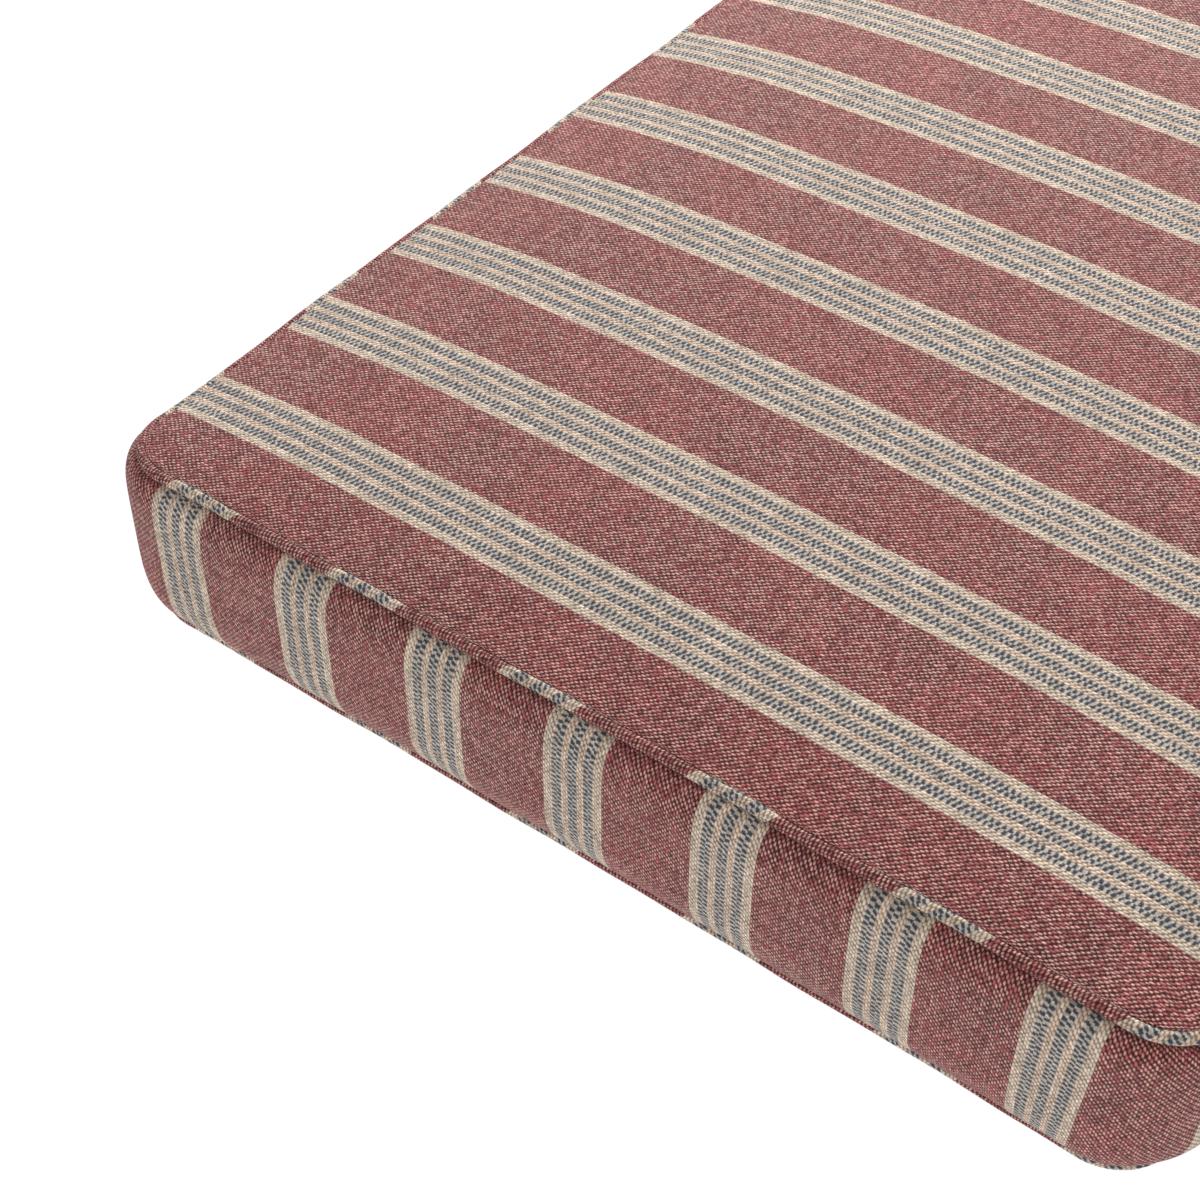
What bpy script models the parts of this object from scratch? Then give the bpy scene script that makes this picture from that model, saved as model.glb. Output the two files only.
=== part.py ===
"""A box-edged bench cushion with piped seams.

A firm pad in a striped cover: a crowned top panel, a boxing band that bulges out round the
sides, a flatter bottom panel, and a corded piping sewn into the seam round each panel.

Metres, +Z up. The origin is the middle of the face that the cushion rests on. +X runs along
the cushion's length and +Y across its width.
"""

import math
from collections import namedtuple

import bmesh
import bpy

# The cloth's stripe repeat sets the plan: the panels hold whole repeats, with a little spare
# red cloth at each end and at each side.
STRIPE_REPEAT = 0.054
REPEATS_ALONG = 22
REPEATS_ACROSS = 7
SPARE_ALONG = 0.0175
SPARE_ACROSS = 0.0130

# The outline of the two seams, seen from above.
SEAM_LENGTH = REPEATS_ALONG * STRIPE_REPEAT + SPARE_ALONG
SEAM_WIDTH = REPEATS_ACROSS * STRIPE_REPEAT + SPARE_ACROSS
CORNER_RADIUS = 0.020
PANEL_CORNER_RADIUS = 0.015
SIDE_DRAW_IN = 0.0015
END_DRAW_IN = 0.0010

# Heights: the boxing runs from seam to seam, and the panels stand beyond the seams.
BOXING_HEIGHT = 0.067
BOXING_BULGE = 0.0100
TOP_CROWN = 0.0137
BOTTOM_CROWN = 0.0085

# The cord in each seam, and the groove that it lies in.
PIPING_DIAMETER = 0.004
SEAT_GAP = 0.0004
GROOVE_RADIUS = PIPING_DIAMETER / 2 + SEAT_GAP
GROOVE_ANGLES = (140, 160, 180, 205, 230, 255)

# Facets round the outline and round the cord.
CORNER_STEPS = 5
SIDE_STEPS = 12
END_STEPS = 4
CORD_RESOLUTION = 2

BOTTOM_SEAM_HEIGHT = BOTTOM_CROWN
TOP_SEAM_HEIGHT = BOTTOM_SEAM_HEIGHT + BOXING_HEIGHT
LIP = GROOVE_RADIUS * math.sin(math.radians(GROOVE_ANGLES[0]))

# A row of the cushion's section: how far it lies outside the seam line, and how high.
Ring = namedtuple("Ring", "outward height")

# The top panel, from its middle out to the groove: the distance in from the seam, and the
# share of the crown that is reached there.
PanelRow = namedtuple("PanelRow", "inward share")
TOP_PANEL = (
    PanelRow(inward=0.160, share=1.00),
    PanelRow(inward=0.110, share=0.89),
    PanelRow(inward=0.075, share=0.76),
    PanelRow(inward=0.048, share=0.61),
    PanelRow(inward=0.028, share=0.46),
    PanelRow(inward=0.014, share=0.32),
    PanelRow(inward=0.006, share=0.17),
)
BOTTOM_PANEL = (
    PanelRow(inward=0.110, share=1.00),
    PanelRow(inward=0.050, share=1.00),
    PanelRow(inward=0.030, share=0.78),
    PanelRow(inward=0.014, share=0.42),
    PanelRow(inward=0.006, share=0.16),
)

# The boxing, from under the top piping to over the bottom piping: how far down it is, as a
# share of the boxing's height, and how far out, as a share of its bulge.
BoxingRow = namedtuple("BoxingRow", "down out")
BOXING = (
    BoxingRow(down=0.042, out=0.30),
    BoxingRow(down=0.050, out=0.55),
    BoxingRow(down=0.066, out=0.76),
    BoxingRow(down=0.095, out=0.90),
    BoxingRow(down=0.150, out=0.97),
    BoxingRow(down=0.260, out=1.00),
    BoxingRow(down=0.450, out=1.00),
    BoxingRow(down=0.650, out=1.00),
    BoxingRow(down=0.740, out=0.97),
    BoxingRow(down=0.810, out=0.88),
    BoxingRow(down=0.870, out=0.73),
    BoxingRow(down=0.915, out=0.54),
    BoxingRow(down=0.948, out=0.30),
)

# Colour, roughness and metallic value of each finish.
Finish = namedtuple("Finish", "colour roughness metallic")
COVER = Finish(colour=(0.30, 0.13, 0.12), roughness=0.9, metallic=0.0)
PIPING = Finish(colour=(0.34, 0.18, 0.16), roughness=0.9, metallic=0.0)


def start_empty():
    """Remove every object that the scene holds."""
    for old in list(bpy.data.objects):
        bpy.data.objects.remove(old, do_unlink=True)


def new_material(name, finish):
    """A plain Principled finish."""
    material = bpy.data.materials.new(name)
    material.use_nodes = True
    shader = material.node_tree.nodes["Principled BSDF"]
    shader.inputs["Base Color"].default_value = (*finish.colour, 1.0)
    shader.inputs["Roughness"].default_value = finish.roughness
    shader.inputs["Metallic"].default_value = finish.metallic
    return material


def add_object(name, data, finish):
    """Put a mesh or a curve in the scene, with its own material."""
    piece = bpy.data.objects.new(name, data)
    data.materials.append(new_material(name + "_finish", finish))
    bpy.context.scene.collection.objects.link(piece)
    return piece


def drawn_in(x, y):
    """Pull the middle of each side in a little, as the taut cloth does."""
    along = 2 * x / SEAM_LENGTH
    across = 2 * y / SEAM_WIDTH
    x -= END_DRAW_IN * along * max(0.0, 1 - across ** 2)
    y -= SIDE_DRAW_IN * across * max(0.0, 1 - along ** 2)
    return x, y


def outline(outward):
    """The points of a rounded rectangle that lies this far outside the seam line."""
    radius = max(CORNER_RADIUS + outward, PANEL_CORNER_RADIUS)
    centre_x = SEAM_LENGTH / 2 + outward - radius
    centre_y = SEAM_WIDTH / 2 + outward - radius
    corners = ((1, 1), (-1, 1), (-1, -1), (1, -1))
    sides = (SIDE_STEPS, END_STEPS, SIDE_STEPS, END_STEPS)
    points = []
    for turn, (side_x, side_y) in enumerate(corners):
        for step in range(CORNER_STEPS + 1):
            angle = math.radians(90) * (turn + step / CORNER_STEPS)
            x = side_x * centre_x + radius * math.cos(angle)
            y = side_y * centre_y + radius * math.sin(angle)
            points.append((x, y))
        next_x, next_y = corners[(turn + 1) % 4]
        end_angle = math.radians(90) * (turn + 1)
        end_x = next_x * centre_x + radius * math.cos(end_angle)
        end_y = next_y * centre_y + radius * math.sin(end_angle)
        steps = sides[turn]
        for step in range(1, steps):
            share = step / steps
            points.append((x + (end_x - x) * share, y + (end_y - y) * share))
    return [drawn_in(x, y) for x, y in points]


def top_panel_rings():
    """Rings from the middle of the crown to the lip over the top piping."""
    rise = TOP_CROWN - LIP
    return [
        Ring(-row.inward, TOP_SEAM_HEIGHT + LIP + rise * row.share)
        for row in TOP_PANEL
    ]


def groove_rings(seam_height, up):
    """Rings round the inner side of a piping, from its panel to the boxing."""
    rings = []
    for degrees in GROOVE_ANGLES:
        angle = math.radians(degrees)
        outward = GROOVE_RADIUS * math.cos(angle)
        rings.append(Ring(outward, seam_height + up * GROOVE_RADIUS * math.sin(angle)))
    return rings


def boxing_rings():
    """Rings down the band between the two seams."""
    return [
        Ring(BOXING_BULGE * row.out, TOP_SEAM_HEIGHT - BOXING_HEIGHT * row.down)
        for row in BOXING
    ]


def bottom_panel_rings():
    """Rings from the middle of the resting face to the lip under the bottom piping."""
    fall = BOTTOM_CROWN - LIP
    return [
        Ring(-row.inward, BOTTOM_SEAM_HEIGHT - LIP - fall * row.share)
        for row in BOTTOM_PANEL
    ]


def add_loop(bm, ring):
    """Draw one closed loop of edges, and return those edges."""
    verts = [bm.verts.new((x, y, ring.height)) for x, y in outline(ring.outward)]
    return [bm.edges.new((a, b)) for a, b in zip(verts, verts[1:] + verts[:1])]


def build_cushion():
    """The filled cushion: loops from the crown to the resting face, bridged and capped."""
    bottom_groove = list(reversed(groove_rings(BOTTOM_SEAM_HEIGHT, up=-1)))
    rings = top_panel_rings() + groove_rings(TOP_SEAM_HEIGHT, up=1) + boxing_rings()
    rings += bottom_groove + list(reversed(bottom_panel_rings()))

    bm = bmesh.new()
    loops = [add_loop(bm, ring) for ring in rings]
    for upper, lower in zip(loops, loops[1:]):
        bmesh.ops.bridge_loops(bm, edges=upper + lower)
    for rim in (loops[0], loops[-1]):
        bmesh.ops.triangle_fill(bm, edges=rim, use_beauty=True, use_dissolve=False)
    bmesh.ops.recalc_face_normals(bm, faces=bm.faces)
    mesh = bpy.data.meshes.new("cushion")
    bm.to_mesh(mesh)
    bm.free()
    mesh.shade_smooth()
    return add_object("cushion", mesh, COVER)


def build_piping(name, seam_height):
    """A covered cord that runs round a seam and meets itself."""
    curve = bpy.data.curves.new(name, "CURVE")
    curve.dimensions = "3D"
    curve.twist_mode = "Z_UP"
    curve.bevel_depth = PIPING_DIAMETER / 2
    curve.bevel_resolution = CORD_RESOLUTION
    spline = curve.splines.new("POLY")
    route = outline(0.0)
    spline.points.add(len(route) - 1)
    for point, (x, y) in zip(spline.points, route):
        point.co = (x, y, seam_height, 1.0)
    spline.use_cyclic_u = True
    return add_object(name, curve, PIPING)


def main():
    start_empty()
    build_cushion()
    build_piping("piping_top", TOP_SEAM_HEIGHT)
    build_piping("piping_bottom", BOTTOM_SEAM_HEIGHT)


main()
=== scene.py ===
# %% [markdown]
# # A piped bench cushion
#
# This lesson dresses a long box cushion: a foam pad in a loose cover of striped cloth. The
# cover has a top panel, a bottom panel, and a band called the boxing between them. A cord in
# a bias strip of the same cloth, the piping, is sewn into the seam round each panel.
#
# The construction is already settled, so the lesson starts from that fixed frame. It then
# makes the cloth that shows: its puffed shape, its weave and the piping.

# %% Load the frame
import math
from collections import namedtuple

import bmesh
import bpy
from mathutils import Euler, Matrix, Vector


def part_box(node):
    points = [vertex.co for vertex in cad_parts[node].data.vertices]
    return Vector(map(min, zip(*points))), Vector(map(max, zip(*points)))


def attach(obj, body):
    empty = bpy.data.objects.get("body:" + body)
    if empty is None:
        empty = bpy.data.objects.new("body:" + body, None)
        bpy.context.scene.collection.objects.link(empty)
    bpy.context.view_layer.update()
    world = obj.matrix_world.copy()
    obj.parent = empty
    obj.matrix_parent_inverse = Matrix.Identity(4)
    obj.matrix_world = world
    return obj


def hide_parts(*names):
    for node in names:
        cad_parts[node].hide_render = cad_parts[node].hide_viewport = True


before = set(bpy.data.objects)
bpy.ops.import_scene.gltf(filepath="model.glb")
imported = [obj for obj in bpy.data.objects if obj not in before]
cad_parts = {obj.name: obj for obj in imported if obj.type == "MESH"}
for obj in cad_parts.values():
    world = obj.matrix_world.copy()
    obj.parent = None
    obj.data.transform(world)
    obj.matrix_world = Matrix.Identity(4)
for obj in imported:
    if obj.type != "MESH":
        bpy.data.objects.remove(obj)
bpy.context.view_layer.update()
print("nodes of the frame:", sorted(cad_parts))

# %% [markdown]
# ## Measure the frame
#
# Everything on this cushion follows from three lines: the two seams and the stripe repeat of
# the cloth. A maker marks the seams on the cloth first. Here they are read from the frame's
# own cords, because a cord lies in its seam, so the new cloth fits without any adjusting.

# %% Seam lines
cord_low, cord_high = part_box("piping_top")
lower_cord_low, lower_cord_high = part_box("piping_bottom")
pad_low, pad_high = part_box("cushion")

CORD_RADIUS = (cord_high.z - cord_low.z) / 2
TOP_SEAM = (cord_high.z + cord_low.z) / 2
BOTTOM_SEAM = (lower_cord_high.z + lower_cord_low.z) / 2
BOXING_HEIGHT = TOP_SEAM - BOTTOM_SEAM
CROWN = pad_high.z - TOP_SEAM
print(f"boxing {BOXING_HEIGHT * 1000:.1f} mm high, crown {CROWN * 1000:.1f} mm")

# %% [markdown]
# The stripes repeat every 54 mm. The panels hold whole repeats, 22 along and 7 across, with a
# little spare cloth, and nearly the same red margin is left at both ends. A careful maker
# centres a stripe like that, and is a millimetre out.

# %% Stripe repeat and seam outline
REPEAT = 0.054
REPEATS_ALONG = 22
REPEATS_ACROSS = 7
SPARE_ALONG = 0.0175
SPARE_ACROSS = 0.0130
LENGTH = REPEATS_ALONG * REPEAT + SPARE_ALONG
WIDTH = REPEATS_ACROSS * REPEAT + SPARE_ACROSS
CORNER_RADIUS = 0.020
SIDE_DRAW_IN = 0.0015
END_DRAW_IN = 0.0010

YARNS_PER_REPEAT = 64
BAND_YARNS = 26
RED_WIDTH = REPEAT * (1 - BAND_YARNS / YARNS_PER_REPEAT)
PANEL_OFF_CENTRE = 0.0015
STRIP_OFF_CENTRE = 0.0012
END_MARGIN = (SPARE_ALONG + RED_WIDTH) / 2 + PANEL_OFF_CENTRE
SIDE_MARGIN = (SPARE_ACROSS + RED_WIDTH) / 2 - STRIP_OFF_CENTRE
print(f"seam outline {LENGTH * 1000:.0f} x {WIDTH * 1000:.0f} mm,",
      f"frame {(cord_high.x - cord_low.x) * 1000:.0f} x {(cord_high.y - cord_low.y) * 1000:.0f}")

# %% [markdown]
# ## The camera
#
# The picture looks down at one corner of the cushion from about 45 degrees, close enough that
# the far end runs out of the frame. The camera is placed by its real position beside the
# cushion and by its three turns, and the lens is a short telephoto.

# %% Camera
CAMERA_PLACE = (-0.9403, -0.2664, 0.5656)
CAMERA_TURNS = (44.323, 0.658, -52.861)
CAMERA_LENS = 67.05

camera_data = bpy.data.cameras.new("photo_camera")
camera_data.lens = CAMERA_LENS
camera_data.sensor_width = 36.0
camera_data.clip_start = 0.05
camera = bpy.data.objects.new("photo_camera", camera_data)
camera.location = CAMERA_PLACE
camera.rotation_euler = Euler([math.radians(turn) for turn in CAMERA_TURNS])
bpy.context.scene.collection.objects.link(camera)
bpy.context.scene.camera = camera
bpy.context.scene.view_settings.view_transform = "Standard"
print("camera at", CAMERA_PLACE)

# %% [markdown]
# ## Shader maths as sentences
#
# Cloth is arithmetic: which yarn is this, which one lies on top, what colour is it. Typed as
# nodes that is hard to read, so one small class wraps a socket and lets Python's own
# operators add the Math nodes. Colours and vectors have their own two nodes.

# %% The socket wrapper
class Wire:
    """An output of a node. Arithmetic on it adds Math nodes to the same material."""

    def __init__(self, recipe, socket):
        self.recipe = recipe
        self.socket = socket

    def maths(self, operation, *values):
        return self.recipe.node("ShaderNodeMath", {"operation": operation}, values)

    def __add__(self, other):
        return self.maths("ADD", self, other)

    def __sub__(self, other):
        return self.maths("SUBTRACT", self, other)

    def __rsub__(self, other):
        return self.maths("SUBTRACT", other, self)

    def __mul__(self, other):
        return self.maths("MULTIPLY", self, other)

    def __truediv__(self, other):
        return self.maths("DIVIDE", self, other)

    def __rtruediv__(self, other):
        return self.maths("DIVIDE", other, self)

    def __pow__(self, other):
        return self.maths("POWER", self, other)

    def __lt__(self, other):
        return self.maths("LESS_THAN", self, other)

    def __gt__(self, other):
        return self.maths("GREATER_THAN", self, other)

    __radd__ = __add__
    __rmul__ = __mul__

    def floor(self):
        return self.maths("FLOOR", self)

    def fract(self):
        return self.maths("FRACT", self)

    def root(self):
        return self.maths("SQRT", self)

    def step(self, start, end):
        """0 before start, 1 after end, and a smooth rise between them."""
        inputs = {"Value": self, "From Min": start, "From Max": end}
        settings = {"interpolation_type": "SMOOTHSTEP"}
        return self.recipe.node("ShaderNodeMapRange", settings, inputs)


class Recipe:
    """A material and the nodes that go into it."""

    def __init__(self, name):
        self.material = bpy.data.materials.new(name)
        self.material.use_nodes = True
        self.tree = self.material.node_tree
        self.shader = self.tree.nodes["Principled BSDF"]

    def node(self, kind, settings=None, inputs=(), output=0):
        """Add a node, set its settings, then give its sockets values or wires."""
        added = self.tree.nodes.new(kind)
        for name, value in (settings or {}).items():
            if name == "stops":
                self.set_stops(added.color_ramp, value)
            else:
                setattr(added, name, value)
        pairs = inputs.items() if isinstance(inputs, dict) else enumerate(inputs)
        for key, value in pairs:
            self.give(added.inputs[key], value)
        return Wire(self, added.outputs[output])

    def give(self, socket, value):
        if isinstance(value, Wire):
            self.tree.links.new(value.socket, socket)
        else:
            socket.default_value = value

    @staticmethod
    def set_stops(ramp, stops):
        while len(ramp.elements) < len(stops):
            ramp.elements.new(1.0)
        for element, (place, colour) in zip(ramp.elements, stops):
            element.position = place
            element.color = (*colour, 1.0)

    def ramp(self, value, stops):
        return self.node("ShaderNodeValToRGB", {"stops": stops}, [value])

    def mix(self, share, first, second, blend="MIX"):
        """A colour between two others."""
        settings = {"data_type": "RGBA", "blend_type": blend}
        sockets = {0: share, 6: self.rgba(first), 7: self.rgba(second)}
        return self.node("ShaderNodeMix", settings, sockets, output=2)

    @staticmethod
    def rgba(colour):
        return colour if isinstance(colour, Wire) else (*colour, 1.0)

    def join(self, x, y, z=0.0):
        return self.node("ShaderNodeCombineXYZ", inputs=[x, y, z])

    def chance(self, x, y, seed):
        """A random number that stays the same all over one yarn or one crossing."""
        place = self.join(x, y, seed)
        return self.node("ShaderNodeTexWhiteNoise", {"noise_dimensions": "3D"}, [place])

    def drift(self, x, y, seed):
        """A soft random number, about one change for each unit of x or y."""
        inputs = {"Vector": self.join(x, y, seed), "Scale": 1.0, "Detail": 2.0}
        return self.node("ShaderNodeTexNoise", None, inputs)


print("shader helpers:", Wire.__name__, Recipe.__name__)

# %% [markdown]
# ## The studio
#
# The photograph is a catalogue picture: a pure white ground without a shadow. A large floor
# that glows like a light table gives that ground and lights the boxing from below. A dimmer
# sky fills in, and one broad lamp beyond the far end rakes over the top, so that the top is
# brighter than the boxing and the bump of each yarn catches the light. The dark gaps between
# the yarns are painted shade in the cloth's colours.

# %% Floor
FLOOR_SIZE = 12.0
FLOOR_GLOW = 0.98
FLOOR_COLOUR = (0.08, 0.08, 0.08)

floor_mesh = bpy.data.meshes.new("floor")
floor_bm = bmesh.new()
bmesh.ops.create_grid(floor_bm, x_segments=1, y_segments=1, size=FLOOR_SIZE / 2)
floor_bm.to_mesh(floor_mesh)
floor_bm.free()
floor = bpy.data.objects.new("floor", floor_mesh)
bpy.context.scene.collection.objects.link(floor)

floor_paint = Recipe("floor_white")
floor_paint.shader.inputs["Base Color"].default_value = (*FLOOR_COLOUR, 1.0)
floor_paint.shader.inputs["Roughness"].default_value = 1.0
floor_paint.shader.inputs["Specular IOR Level"].default_value = 0.0
floor_paint.shader.inputs["Emission Color"].default_value = (1.0, 1.0, 1.0, 1.0)
floor_paint.shader.inputs["Emission Strength"].default_value = FLOOR_GLOW
floor_mesh.materials.append(floor_paint.material)
print("floor", FLOOR_SIZE, "m wide")

# %% Sky and lamp
SKY_STRENGTH = 0.58
LAMP_POWER = 31.0
LAMP_SIZE = 0.9
LAMP_PLACE = (1.00, 0.55, 0.95)

world = bpy.data.worlds.new("studio_white")
world.use_nodes = True
backdrop = world.node_tree.nodes["Background"]
backdrop.inputs["Color"].default_value = (1.0, 1.0, 1.0, 1.0)
backdrop.inputs["Strength"].default_value = SKY_STRENGTH
bpy.context.scene.world = world

lamp_data = bpy.data.lights.new("broad_lamp", "AREA")
lamp_data.shape = "DISK"
lamp_data.size = LAMP_SIZE
lamp_data.energy = LAMP_POWER
lamp = bpy.data.objects.new("broad_lamp", lamp_data)
lamp.location = LAMP_PLACE
lamp.rotation_euler = lamp.location.to_track_quat("Z", "Y").to_euler()
bpy.context.scene.collection.objects.link(lamp)
print("sky", SKY_STRENGTH, "lamp", LAMP_POWER, "W")

# %% [markdown]
# ## The plan of the seams
#
# Seen from above, each seam is a long rectangle with round corners, and its sides are drawn
# in a little where the taut cloth pulls them. A flat grid of faces has square corners, so its
# corner squares are bent into quarter discs: a point keeps its distance from the edge, and
# its distance from the corner becomes an angle. The same rule serves the panels, the boxing
# and the piping, so that their edges meet point for point.

# %% From a square corner to a round one
def corner_bend(along, across):
    """Where a point of the square plan lies on the rounded one, and the way out from there."""
    side_x = math.copysign(1.0, along)
    side_y = math.copysign(1.0, across)
    gap_x = LENGTH / 2 - abs(along)
    gap_y = WIDTH / 2 - abs(across)
    depth = min(gap_x, gap_y)
    if max(gap_x, gap_y) >= CORNER_RADIUS:
        outward_x = side_x if gap_x < gap_y else 0.0
        outward_y = side_y if gap_y <= gap_x else 0.0
        return along, across, outward_x, outward_y
    radius = CORNER_RADIUS - depth
    share = (max(gap_x, gap_y) - depth) / radius
    quarter = math.pi / 4
    angle = quarter + quarter * share * (1 if gap_y <= gap_x else -1)
    outward_x = side_x * math.cos(angle)
    outward_y = side_y * math.sin(angle)
    x = side_x * (LENGTH / 2 - CORNER_RADIUS) + radius * outward_x
    y = side_y * (WIDTH / 2 - CORNER_RADIUS) + radius * outward_y
    return x, y, outward_x, outward_y


def draw_in(x, y):
    """Pull the middle of each side in, as the taut cloth does."""
    along = 2 * x / LENGTH
    across = 2 * y / WIDTH
    x -= END_DRAW_IN * along * max(0.0, 1 - across ** 2)
    y -= SIDE_DRAW_IN * across * max(0.0, 1 - along ** 2)
    return x, y


corner_x, corner_y, _, _ = corner_bend(LENGTH / 2, WIDTH / 2)
print(f"the plan's corner goes to {corner_x:.4f}, {corner_y:.4f}")

# %% [markdown]
# No sewn line is quite straight. The piping of the real cushion rises and dips by half a
# millimetre every 10 cm or so, where the sewing machine's feed took up more or less cloth.
# A few waves of unlike lengths, added up, give that unevenness without a random number. Each
# wave has a height, a length and a start.
#
# The foam also holds the two ends up a little more than the long sides. So both seams ride
# about half a millimetre high along the ends, and a millimetre low along the sides.

# %% Uneven seams
SEAM_WAVES = ((0.00022, 0.131, 0.4), (0.00018, 0.083, 2.1), (0.00015, 0.047, 4.0))
WAVE_SLANT = 1.3
END_LIFT = 0.0006
SIDE_LIFT = -0.0009
LIFT_REACH = 0.045


def eased(value):
    """0 below 0, 1 above 1, and a smooth rise between them."""
    value = min(max(value, 0.0), 1.0)
    return value * value * (3 - 2 * value)


def seam_rise(x, y):
    """How far the seams lie above their mean height near this point of the outline."""
    from_end = eased((LENGTH / 2 - abs(x)) / LIFT_REACH)
    from_side = eased((WIDTH / 2 - abs(y)) / LIFT_REACH)
    rise = END_LIFT * from_side * (1 - from_end) + SIDE_LIFT * from_end * (1 - from_side)
    for height, length, start in SEAM_WAVES:
        rise += height * math.sin(math.tau * (x + WAVE_SLANT * y) / length + start)
    return rise


print(f"the seams rise {seam_rise(LENGTH / 2, 0) * 1000:.2f} mm in the middle of an end,",
      f"{seam_rise(0, WIDTH / 2) * 1000:.2f} mm in the middle of a side")

# %% [markdown]
# ## Cut the cloth
#
# The boxing is one long strip that runs round all four sides, with its stripes upright. It
# starts with a stripe at the near end's own margin and then runs on round the corners at its
# natural width, 59 repeats in all, as an unmatched strip does.
#
# The place on the cloth is kept for every point, as a UV map in real metres: U across the
# stripes and V along them. The weave is later drawn from it, so it follows every fold.

# %% Place on the boxing strip
STRIP_REPEATS = 59
SAME_GAP = 1e-7
STRIP_LENGTH = STRIP_REPEATS * REPEAT
SIDE_RUN = LENGTH - 2 * CORNER_RADIUS
END_RUN = WIDTH - 2 * CORNER_RADIUS
CORNER_CLOTH = (STRIP_LENGTH - 2 * SIDE_RUN - 2 * END_RUN) / 4
NEAR_END_START = SIDE_RUN + CORNER_CLOTH * 1.5 - CORNER_RADIUS + SIDE_MARGIN


def strip_place(along, across):
    """How far along the boxing strip a point of the outline lies, in metres of cloth."""
    sides = ((WIDTH / 2 - across, LENGTH / 2 - along, LENGTH),
             (LENGTH / 2 + along, WIDTH / 2 - across, WIDTH),
             (WIDTH / 2 + across, LENGTH / 2 + along, LENGTH),
             (LENGTH / 2 - along, WIDTH / 2 + across, WIDTH))
    start = 0.0
    nearest = None
    for gap, travelled, length in sides:
        if nearest is None or gap < nearest[0] - SAME_GAP:
            nearest = (gap, start, travelled, length)
        start += length - 2 * CORNER_RADIUS + CORNER_CLOTH
    inset, start, travelled, length = nearest
    near = travelled - inset
    far = length - inset - travelled
    reach = CORNER_RADIUS - inset
    place = start + CORNER_CLOTH / 2 + travelled - CORNER_RADIUS
    if near < reach:
        place = start + CORNER_CLOTH / 2 * near / reach
    elif far < reach:
        place = start + length - 2 * CORNER_RADIUS + CORNER_CLOTH * (1 - far / reach / 2)
    return place % STRIP_LENGTH


print(f"boxing strip {STRIP_LENGTH:.3f} m, of which {CORNER_CLOTH * 1000:.0f} mm for a corner")

# %% [markdown]
# ## The cover's section
#
# The pad is cut a little larger than its cover, so the panels crown and the boxing bulges.
# The crown has two parts, each with its share of the height and its reach. A short roll
# stands up right beside the seam, and a long one levels off over the foam.
#
# The boxing swells out sharply under the top piping, so the piping lies in a valley. Then it
# stands upright, and tucks in sharply again above the lower piping. Its table is in
# millimetres: how far each row lies below the top seam, and how far outside the seam line.
#
# At the corners the cover is a little slack, most of all on the right. All of this starts
# about 2 mm small, because a simulation swells it later.

# %% How far the cloth swells
ROLLS = ((0.26, 0.012), (0.74, 0.105))
BOTTOM_FLAT = 0.050
LEFT_SLACK = 0.02
RIGHT_SLACK = 0.24
PRESS_CAP = 0.0012
START_SMALLER = 2 * PRESS_CAP
BOXING_SECTION = (
    (1.9, 2.2), (1.9, 3.5), (2.6, 4.9), (4.0, 6.0), (6.4, 6.9), (10, 7.4), (15, 7.6), (22, 7.7),
    (30, 7.8), (38, 7.9), (44, 8.0), (48.6, 7.9), (52.8, 7.5), (56.4, 6.8), (59.4, 5.8),
    (61.8, 4.6), (63.6, 3.2))


def one_way_swell(gap):
    """The share of the crown's height that is reached this far in from an edge."""
    return 1 - sum(share * math.exp(-gap / reach) for share, reach in ROLLS)


def top_swell(gap_x, gap_y):
    """The share of the crown at a point this far in from the two nearest edges."""
    middle = one_way_swell(WIDTH / 2)
    return one_way_swell(gap_x) * min(one_way_swell(gap_y) / middle, 1.0)


def bottom_swell(gap_x, gap_y):
    """The share of the drop at a point of the bottom panel, which lies flat on the seat."""
    share = min(gap_x / BOTTOM_FLAT, gap_y / BOTTOM_FLAT, 1.0)
    return 1 - (1 - share) ** 2


print("crown reached 5, 20 and 80 mm in:",
      [round(one_way_swell(gap), 2) for gap in (0.005, 0.020, 0.080)])

# %% [markdown]
# ## Lay the cover out
#
# The cover is one closed skin. A grid makes the top panel, with its lines crowded towards the
# seams where the cloth bends most. Its edge is extruded row by row: round the back of the
# piping, down the boxing and round the lower piping. A second grid closes the bottom.
#
# While the skin is laid out it stays flat, with the number of the row as its height. So each
# point still knows its place on the plan, and one pass at the end puts all of them in place.

# %% Rows of the cover
Row = namedtuple("Row", "outward height sewn")

GROOVE_PLAY = 0.0001
GROOVE_RADIUS = CORD_RADIUS + GROOVE_PLAY
GROOVE_TURNS = (105, 130, 155, 180, 205, 230, 255, 280, 300)
LIP_IN = -GROOVE_RADIUS * math.cos(math.radians(GROOVE_TURNS[0]))
LIP_RISE = GROOVE_RADIUS * math.sin(math.radians(GROOVE_TURNS[0]))


def groove_row(turn, seam, up):
    """A row against the cord, at this turn round it; 0 is outwards and 90 towards the panel."""
    angle = math.radians(turn)
    return Row(GROOVE_RADIUS * math.cos(angle), seam + up * GROOVE_RADIUS * math.sin(angle), True)


rows = [groove_row(turn, TOP_SEAM, 1) for turn in GROOVE_TURNS]
rows += [Row(out / 1000, TOP_SEAM - down / 1000, False) for down, out in BOXING_SECTION]
rows += [groove_row(turn, BOTTOM_SEAM, -1) for turn in reversed(GROOVE_TURNS)]
LAST_ROW = len(rows) - 1

cloth_down = [0.0]
for upper, lower in zip(rows, rows[1:]):
    cloth_down.append(cloth_down[-1] + math.hypot(lower.outward - upper.outward,
                                                  lower.height - upper.height))
print("rows round the cover:", len(rows), f"cloth {cloth_down[-1] * 1000:.0f} mm down the side")

# %% Panels as grids, and the rows between them
PANEL_STEPS = (112, 44)
CROWDING = 0.72
SAME_PLACE = 1e-5


def crowded(value):
    """Move a grid line towards the nearer edge; -1, 0 and 1 stay where they are."""
    return value * (1 - CROWDING) + math.sin(value * math.pi / 2) * CROWDING


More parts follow.
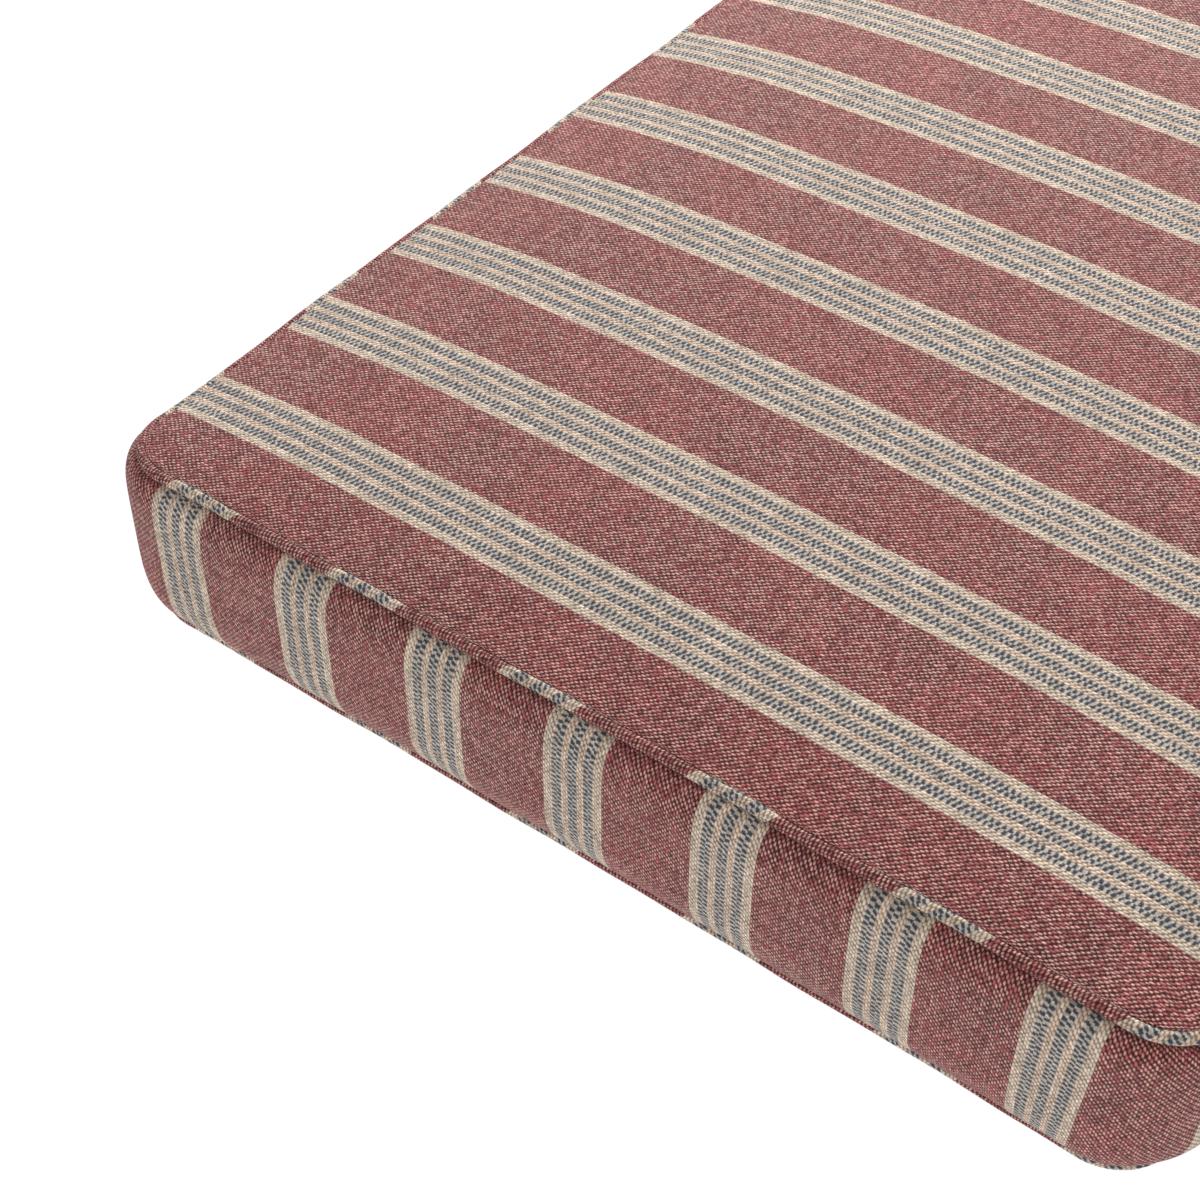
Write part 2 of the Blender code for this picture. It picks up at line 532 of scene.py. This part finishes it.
def add_panel(bm, level):
    """A grid of a panel's size on the flat layout, at this level."""
    made = bmesh.ops.create_grid(bm, x_segments=PANEL_STEPS[0], y_segments=PANEL_STEPS[1],
                                 size=1.0)
    for vert in made["verts"]:
        vert.co.x = crowded(vert.co.x) * (LENGTH / 2 - LIP_IN)
        vert.co.y = crowded(vert.co.y) * (WIDTH / 2 - LIP_IN)
        vert.co.z = level


cover_bm = bmesh.new()
add_panel(cover_bm, 0)
rim = [edge for edge in cover_bm.edges if edge.is_boundary]
for level in range(1, LAST_ROW + 1):
    made = bmesh.ops.extrude_edge_only(cover_bm, edges=rim)
    rim = [item for item in made["geom"] if isinstance(item, bmesh.types.BMEdge)]
    for vert in {vert for edge in rim for vert in edge.verts}:
        vert.co.z = level
add_panel(cover_bm, LAST_ROW)
bmesh.ops.remove_doubles(cover_bm, verts=cover_bm.verts, dist=SAME_PLACE)
open_edges = [edge for edge in cover_bm.edges if not edge.is_manifold]
print("cover faces", len(cover_bm.faces), "open edges", len(open_edges))

# %% [markdown]
# ## The cloth's place, as a UV map
#
# Panels take their place on the cloth straight from the plan. Rows of the boxing take it from
# the strip, and the distance down the side is measured along the bulging cloth, so the weave
# isn't stretched there. Both start at a stripe. The strip's two ends meet in one column of
# faces, whose places are carried past the end.

# %% UV map of the cover
def panel_cloth(vert):
    x, y, _, _ = corner_bend(vert.co.x, vert.co.y)
    return x + LENGTH / 2 - END_MARGIN, y


def strip_cloth(vert):
    along_strip = strip_place(vert.co.x, vert.co.y)
    return along_strip - NEAR_END_START, -cloth_down[round(vert.co.z)]


cloth_map = cover_bm.loops.layers.uv.new("cloth")
for face in cover_bm.faces:
    levels = {round(vert.co.z) for vert in face.verts}
    place_on_cloth = panel_cloth if len(levels) == 1 else strip_cloth
    places = [place_on_cloth(loop.vert) for loop in face.loops]
    furthest = max(u for u, v in places)
    for loop, (u, v) in zip(face.loops, places):
        past_end = furthest - u > STRIP_LENGTH / 2 and place_on_cloth is strip_cloth
        loop[cloth_map].uv = (u + STRIP_LENGTH if past_end else u, v)
print("UV map", cloth_map.name, "in metres of cloth")

# %% [markdown]
# ## Fill it
#
# Each point of the flat layout goes to its place on the filled pad: the panels up by the
# crown or down to the seat, the boxing rows out by their bulge, and all of them with the rise
# of the seam. The lower part of the near right corner is tucked in, where the cover is pulled
# tight.

# %% Filled places
SEAM_FADE = 0.035
TUCK = 0.0112
TUCK_REACH = 0.042


def tucked(x, y, height):
    """Where a point goes when the lower part of the near right corner is drawn in."""
    away = math.hypot(x + LENGTH / 2 - CORNER_RADIUS, y + WIDTH / 2 - CORNER_RADIUS)
    share = eased(1 - away / TUCK_REACH) * eased((TOP_SEAM - height) / BOXING_HEIGHT)
    return x, y + TUCK * share


def filled_place(vert):
    """Where a point of the flat layout lies on the filled cushion."""
    level = round(vert.co.z)
    row = rows[level]
    gap_x = max(LENGTH / 2 - LIP_IN - abs(vert.co.x), 0.0)
    gap_y = max(WIDTH / 2 - LIP_IN - abs(vert.co.y), 0.0)
    x, y, out_x, out_y = corner_bend(vert.co.x, vert.co.y)
    rise = seam_rise(x, y)
    outward = row.outward
    height = row.height
    if level == 0:
        height += (CROWN - LIP_RISE - START_SMALLER) * top_swell(gap_x, gap_y)
        rise *= math.exp(-min(gap_x, gap_y) / SEAM_FADE)
    elif level == LAST_ROW:
        share = bottom_swell(gap_x, gap_y)
        height *= 1 - share
        rise *= 1 - share
    elif not row.sewn:
        into_corner = (2 * out_x * out_y) ** 2
        outward *= 1 - (LEFT_SLACK if y > 0 else RIGHT_SLACK) * into_corner
    outward += LIP_IN
    x, y = draw_in(x + out_x * outward, y + out_y * outward)
    x, y = tucked(x, y, height)
    return x, y, height + rise


centre_height = rows[0].height + (CROWN - LIP_RISE - START_SMALLER)
print(f"the crown starts {centre_height * 1000:.1f} mm high")

# %% [markdown]
# A point that lies against a cord is noted as sewn. Then all points go to their places at
# once, and the faces are turned outwards: a closed shape whose faces point inwards has a
# negative volume, and air pressure would empty it instead of filling it.

# %% Fill the cover
def face_outwards(bm):
    """Make all faces of a closed shape point out of it."""
    bmesh.ops.recalc_face_normals(bm, faces=bm.faces)
    if bm.calc_volume(signed=True) < 0:
        bmesh.ops.reverse_faces(bm, faces=bm.faces)


cover_bm.verts.index_update()
sewn = set()
filled = []
for vert in cover_bm.verts:
    on_rim = any(len({round(other.co.z) for other in face.verts}) > 1 for face in vert.link_faces)
    if rows[round(vert.co.z)].sewn and on_rim:
        sewn.add(vert.index)
    filled.append(filled_place(vert))
for vert, place in zip(cover_bm.verts, filled):
    vert.co = place
face_outwards(cover_bm)
cover_mesh = bpy.data.meshes.new("cover")
cover_bm.to_mesh(cover_mesh)
cover_bm.free()
cover = bpy.data.objects.new("cover", cover_mesh)
bpy.context.scene.collection.objects.link(cover)
cover.vertex_groups.new(name="sewn").add(sorted(sewn), 1.0, "REPLACE")
print("cover points", len(cover_mesh.vertices), "sewn", len(sewn))

# %% [markdown]
# ## Let the foam press
#
# The laid-out shape is exact but a little stiff, and it starts 2 mm small. A short cloth
# simulation with air pressure inside swells the skin between its sewn lines, as foam does.
# A point may move 1.2 mm at most, so the cushion keeps its size, and none goes below the
# seat.

# %% Cloth simulation
PRESSURE = 4.0
PRESS_FRAMES = 20


def pressed_places(piece):
    """Run the cloth once, and return where each point ends."""
    press = piece.modifiers.new("press", "CLOTH")
    press.settings.quality = 5
    press.settings.mass = 0.3
    press.settings.tension_stiffness = 30.0
    press.settings.compression_stiffness = 30.0
    press.settings.bending_stiffness = 2.0
    press.settings.use_pressure = True
    press.settings.uniform_pressure_force = PRESSURE
    press.settings.effector_weights.gravity = 0.0
    press.settings.vertex_group_mass = "sewn"
    press.point_cache.frame_end = PRESS_FRAMES
    for number in range(1, PRESS_FRAMES + 1):
        bpy.context.scene.frame_set(number)
    settled = piece.evaluated_get(bpy.context.evaluated_depsgraph_get())
    ends = [vert.co.copy() for vert in settled.data.vertices]
    piece.modifiers.remove(press)
    bpy.context.scene.frame_set(1)
    return ends


furthest = 0.0
for vert, end in zip(cover_mesh.vertices, pressed_places(cover)):
    move = end - vert.co
    if move.length > 0:
        furthest = max(furthest, move.length)
        move *= PRESS_CAP * (1 - math.exp(-move.length / PRESS_CAP)) / move.length
        vert.co += move
        vert.co.z = max(vert.co.z, 0.0)
print(f"the cloth wanted to move up to {furthest * 1000:.1f} mm")

smoother = cover.modifiers.new("smooth", "SUBSURF")
smoother.levels = 1
smoother.render_levels = 1
smoother.uv_smooth = "NONE"

# %% [markdown]
# ## The piping
#
# The piping is a 4 mm cord in a strip of the same cloth, cut across the stripes at a slant,
# so that it bends round the corners. Its stripes cross it as slanted pieces. A grid of faces
# is rolled into a tube and laid along the seam, and then its two ends are joined.

# %% Walk along a seam
ARC_RUN = CORNER_RADIUS * math.pi / 2
SEAM_RUN = 2 * (SIDE_RUN + END_RUN) + 4 * ARC_RUN


def seam_point(distance):
    """A point of the seam line and the way out from it, going round from the +X +Y corner."""
    left = distance % SEAM_RUN
    turns = 0
    while True:
        run = SIDE_RUN if turns % 2 == 0 else END_RUN
        if left <= run + ARC_RUN:
            break
        left -= run + ARC_RUN
        turns += 1
    heading = math.pi / 2 * turns
    out_angle = heading + math.pi / 2
    half = (LENGTH / 2, WIDTH / 2)
    corner_x, corner_y = ((1, 1), (-1, 1), (-1, -1), (1, -1))[turns]
    next_x, next_y = ((1, 1), (-1, 1), (-1, -1), (1, -1))[(turns + 1) % 4]
    if left <= run:
        centre_x = corner_x * (half[0] - CORNER_RADIUS)
        centre_y = corner_y * (half[1] - CORNER_RADIUS)
        x = centre_x - left * math.cos(heading) + CORNER_RADIUS * math.cos(out_angle)
        y = centre_y - left * math.sin(heading) + CORNER_RADIUS * math.sin(out_angle)
    else:
        out_angle += (left - run) / CORNER_RADIUS
        x = next_x * (half[0] - CORNER_RADIUS) + CORNER_RADIUS * math.cos(out_angle)
        y = next_y * (half[1] - CORNER_RADIUS) + CORNER_RADIUS * math.sin(out_angle)
    return x, y, math.cos(out_angle), math.sin(out_angle)


print(f"seam {SEAM_RUN:.4f} m round")

# %% Roll the strip round the cord
CORD_STEPS = 1560
CORD_SIDES = 14
CORD_REPEATS = 46
CORD_GIRTH = math.tau * CORD_RADIUS
CORD_PITCH = SEAM_RUN / CORD_REPEATS
BIAS = math.acos(REPEAT / CORD_PITCH)
CORD_PHASE = -0.0266
SAME_CORD_PLACE = 2e-5


def build_piping(name, seam_height):
    """A closed cord along a seam."""
    bm = bmesh.new()
    bmesh.ops.create_grid(bm, x_segments=CORD_STEPS, y_segments=CORD_SIDES, size=0.5)
    strip_map = bm.loops.layers.uv.new("cloth")
    for face in bm.faces:
        for loop in face.loops:
            along = (loop.vert.co.x + 0.5) * SEAM_RUN
            around = loop.vert.co.y * CORD_GIRTH
            u = along * math.cos(BIAS) - around * math.sin(BIAS) + CORD_PHASE
            v = along * math.sin(BIAS) + around * math.cos(BIAS)
            loop[strip_map].uv = (u, v)
    for vert in bm.verts:
        x, y, out_x, out_y = seam_point((vert.co.x + 0.5) * SEAM_RUN)
        turn = math.tau * vert.co.y
        outward = CORD_RADIUS * math.cos(turn)
        rise = CORD_RADIUS * math.sin(turn) + seam_rise(x, y)
        x, y = draw_in(x + out_x * outward, y + out_y * outward)
        x, y = tucked(x, y, seam_height)
        vert.co = (x, y, seam_height + rise)
    bmesh.ops.remove_doubles(bm, verts=bm.verts, dist=SAME_CORD_PLACE)
    face_outwards(bm)
    mesh = bpy.data.meshes.new(name)
    bm.to_mesh(mesh)
    bm.free()
    mesh.shade_smooth()
    piping = bpy.data.objects.new(name, mesh)
    bpy.context.scene.collection.objects.link(piping)
    return piping


top_piping = build_piping("top_piping", TOP_SEAM)
bottom_piping = build_piping("bottom_piping", BOTTOM_SEAM)
print(f"piping stripes every {CORD_PITCH * 1000:.1f} mm, bias {math.degrees(BIAS):.0f} degrees")

# %% [markdown]
# ## The cloth
#
# The stripes run along one set of yarns, so the colour of each of these is fixed: 26 yarns
# make a band of cream, blue, cream, blue, cream, blue and cream, and 38 red ones follow. The
# other set crosses them. Where a yarn rises over another it shows as a small light oval, and
# the ovals stand in rows like bricks. In the blue bars the yarns rise in pairs instead.

# %% Where a point lies in the weave
YARN = REPEAT / YARNS_PER_REPEAT
PICK = 0.001004
BAR_SPACING = 7
BAR_START = 4
BAR_END = 22
BAR_YARNS = 4
WANDER = 0.0009

Thread = namedtuple("Thread", "across along number row sideways lengthways band blue inner")


def find_thread(cloth):
    """The yarn and the crossing that a point lies on. Limits lie between whole numbers."""
    place = cloth.node("ShaderNodeUVMap", {"uv_map": "cloth"})
    place = cloth.node("ShaderNodeSeparateXYZ", inputs=[place])
    along = Wire(cloth, place.socket.node.outputs["Y"])
    across = place + (cloth.drift(place * 9, along * 28, seed=5.0) - 0.5) * WANDER
    along = along + (cloth.drift(place * 35, along * 11, seed=8.0) - 0.5) * WANDER

    yarn = across / YARN
    number = yarn.floor()
    in_yarn = yarn.fract()
    in_repeat = ((across / REPEAT).fract() * YARNS_PER_REPEAT).floor()
    band = in_repeat < BAND_YARNS - 0.5
    in_bar = ((in_repeat + (BAR_SPACING - BAR_START)) / BAR_SPACING).fract() * BAR_SPACING
    among_bars = (in_repeat > BAR_START - 0.5) * (in_repeat < BAR_END - 0.5)
    blue = (in_bar < BAR_YARNS - 0.5) * among_bars
    inner = (in_repeat > BAR_START + 0.5) * (in_repeat < BAR_END - 1.5)

    bar_yarn = (in_bar + 0.5).floor()
    pair = (bar_yarn / 2).floor()
    odd_yarn = (number / 2).fract() * 2
    odd_pair = (pair / 2).fract() * 2
    in_pair = (pair * -2 + bar_yarn + in_yarn) / 2
    sideways = in_yarn + (in_pair - in_yarn) * blue - 0.5

    shift = odd_yarn + (odd_pair - odd_yarn) * blue
    row = along / (2 * PICK) + shift * 0.5
    lengthways = (row.fract() - 0.5) * 2
    return Thread(across, along, number, row.floor(), sideways, lengthways, band, blue, inner)


print(f"a yarn every {YARN * 1000:.2f} mm, a pick every {PICK * 1000:.2f} mm")

# %% [markdown]
# Where a yarn rises it shows as a slanted oval, or as a squarer block in the blue bars. Both
# are drawn as a distance from the middle, with the rim near 0.5. Fine noise frays the rim, and
# each crossing gets its own length and its own small shift.

# %% The shape of one crossing
FIBRE = 0.00045
TILT = 0.22
FRAY = 0.60
FRAY_ALONG = 1.6
SCATTER = 0.34
SCATTER_ACROSS = 0.4
LENGTH_FROM = 0.50
LENGTH_SPREAD = 0.40
OVAL_WIDTH = 0.50
BLOCK_WIDTH = 0.62
BLOCK_LENGTH = 0.84
BLOCK_LEAN = 0.35
BLOCK_FRAY = (0.6, 1.3)


def draw_crossing(cloth, thread):
    """How far a point lies from the middle of its oval, and from the middle of its block."""
    fine_x = thread.across / FIBRE
    fine_y = thread.along / FIBRE
    scatter = (cloth.chance(thread.number, thread.row, seed=9.0) - 0.5) * SCATTER
    fray_x = (cloth.drift(fine_x, fine_y, seed=11.0) - 0.5) * FRAY
    fray_x = fray_x + scatter * SCATTER_ACROSS
    fray_y = (cloth.drift(fine_x, fine_y, seed=14.0) - 0.5) * FRAY * FRAY_ALONG + scatter
    length = cloth.chance(thread.number, thread.row, seed=6.0) * LENGTH_SPREAD + LENGTH_FROM

    oval_x = (thread.sideways + thread.lengthways * TILT + fray_x) / OVAL_WIDTH
    oval_y = (thread.lengthways + fray_y) / length
    oval = (oval_x ** 2 + oval_y ** 2).root() / 2

    block_x = (thread.sideways + fray_x * BLOCK_FRAY[0]) / BLOCK_WIDTH
    block_y = thread.lengthways + thread.sideways * BLOCK_LEAN + fray_y * BLOCK_FRAY[1]
    block_y = block_y / (length * BLOCK_LENGTH)
    block = (block_x ** 4 + block_y ** 4).root().root() / 2
    return oval, block


print(f"an oval is {LENGTH_FROM:.2f} to {LENGTH_FROM + LENGTH_SPREAD:.2f} of two picks long")

# %% [markdown]
# The colours run from the middle of an oval, past its rim, to the dark gap beside it. Each ramp
# holds the yarns' own colours and also paints their light and shade: the lighter middle is a
# painted highlight on the rounded yarn, and the dark gap is painted shade. The red cloth mixes
# beige and rose ovals. In the blue bars the order is turned round: the middle of a block is
# blue, and the cream yarn shows beside it, lightest near the block as a painted highlight and
# darker further out as painted shade.

# %% Colours, with painted highlight and painted shade, from the middle of a crossing to the gap
# In these three ramps the light first stops are a painted highlight, the dark last stops painted
# shade between yarns.
OVAL_STOPS = (
    (0.00, (0.90, 0.63, 0.51)),
    (0.25, (0.81, 0.52, 0.42)),
    (0.38, (0.56, 0.21, 0.195)),
    (0.48, (0.38, 0.10, 0.09)),
    (0.56, (0.12, 0.034, 0.03)),
    (1.00, (0.04, 0.014, 0.012)))
ROSE_STOPS = (
    (0.00, (0.58, 0.18, 0.175)),
    (0.28, (0.50, 0.13, 0.13)),
    (0.48, (0.34, 0.080, 0.078)),
    (0.56, (0.12, 0.030, 0.028)),
    (1.00, (0.04, 0.014, 0.012)))
CREAM_STOPS = (
    (0.00, (0.91, 0.77, 0.62)),
    (0.34, (0.84, 0.69, 0.55)),
    (0.48, (0.70, 0.55, 0.43)),
    (0.60, (0.44, 0.33, 0.25)),
    (1.00, (0.20, 0.14, 0.10)))
# The blue middle is the yarn's own colour; the cream stops after the rim are a painted highlight
# fading to painted shade.
BLUE_STOPS = (
    (0.00, (0.040, 0.048, 0.070)),
    (0.34, (0.080, 0.090, 0.115)),
    (0.46, (0.22, 0.21, 0.21)),
    (0.60, (0.72, 0.63, 0.53)),
    (1.00, (0.52, 0.44, 0.37)))
GREY_TINT = (0.86, 0.90, 0.92)
PINK_TINT = (1.0, 0.955, 0.945)
PATCHES_PER_METRE = 26


def colour_crossing(cloth, thread, oval, block):
    """The colour of a point, with its crossing's painted highlight and shade, before its yarns'
    own lightness.
    """
    beige = cloth.chance(thread.number, thread.row, seed=4.0).step(0.10, 0.60)
    patch = cloth.drift(thread.across * PATCHES_PER_METRE, thread.along * PATCHES_PER_METRE,
                        seed=21.0).step(0.30, 0.70)
    beige = beige * (patch * 0.3 + 0.7)
    red = cloth.mix(beige, cloth.ramp(oval, ROSE_STOPS), cloth.ramp(oval, OVAL_STOPS))
    red = cloth.mix(patch, red, cloth.mix(1.0, red, GREY_TINT, blend="MULTIPLY"))
    cream = cloth.ramp(oval, CREAM_STOPS)
    pinker = cloth.mix(1.0, cream, PINK_TINT, blend="MULTIPLY")
    cream = cloth.mix(thread.inner, cream, pinker)
    colour = cloth.mix(thread.band, red, cream)
    return cloth.mix(thread.blue, colour, cloth.ramp(block, BLUE_STOPS))


print("colour stops:", len(OVAL_STOPS) + len(ROSE_STOPS) + len(CREAM_STOPS) + len(BLUE_STOPS))

# %% [markdown]
# No two crossings of a hand-spun yarn are alike. Each crossing has its own lightness, and each
# yarn and each pick grows a little lighter or darker along its length. The height of the ovals
# goes into a bump, so that every yarn catches the light. The cloth is matt, with a faint sheen
# from its loose fibres.

# %% The finished cloth
SLUBS_PER_METRE = 60
PICK_SLUBS_PER_METRE = 30
BUMP_STRENGTH = 0.9
BUMP_HEIGHT = 0.0004
LEAST_ROUGH = 0.80
ROUGH_SPREAD = 0.16


def weave(name):
    """The striped cloth, drawn yarn by yarn from the piece's place on the cloth."""
    cloth = Recipe(name)
    thread = find_thread(cloth)
    oval, block = draw_crossing(cloth, thread)
    colour = colour_crossing(cloth, thread, oval, block)

    crossing = cloth.chance(thread.number, thread.row, seed=3.0)
    slub = cloth.drift(thread.number * 1.7, thread.along * SLUBS_PER_METRE, seed=31.0)
    pick_slub = cloth.drift(thread.across * PICK_SLUBS_PER_METRE, thread.row * 0.9, seed=44.0)
    light = (crossing * 0.36 + 0.83) * (slub * 0.7 + 0.65) * (pick_slub * 0.5 + 0.75)
    colour = cloth.mix(1.0, colour, cloth.join(light, light, light), blend="MULTIPLY")
    height = (1 - oval) + (oval - block) * thread.blue * 0.5 + slub * 0.6
    bump = cloth.node("ShaderNodeBump", None, {"Strength": BUMP_STRENGTH,
                                               "Distance": BUMP_HEIGHT, "Height": height})

    cloth.give(cloth.shader.inputs["Base Color"], colour)
    cloth.give(cloth.shader.inputs["Normal"], bump)
    cloth.give(cloth.shader.inputs["Roughness"], crossing * ROUGH_SPREAD + LEAST_ROUGH)
    cloth.give(cloth.shader.inputs["Specular IOR Level"], 0.25)
    cloth.give(cloth.shader.inputs["Sheen Weight"], 0.15)
    cloth.give(cloth.shader.inputs["Sheen Roughness"], 0.5)
    return cloth.material


cover_cloth = weave("striped_cloth")
cover.data.materials.append(cover_cloth)
piping_cloth = weave("piping_cloth")
top_piping.data.materials.append(piping_cloth)
bottom_piping.data.materials.append(piping_cloth)
print("materials:", cover_cloth.name, piping_cloth.name)

# %% [markdown]
# ## Hand over
#
# Each new piece rides on the frame's one body and stands for the frame's own node. It is
# listed with the slot that its cloth fills.

# %% Ride and replace
PIECES = ((cover, "cushion", "cover"), (top_piping, "piping_top", "piping"),
          (bottom_piping, "piping_bottom", "piping"))
for piece, node, slot in PIECES:
    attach(piece, "root")
    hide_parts(node)
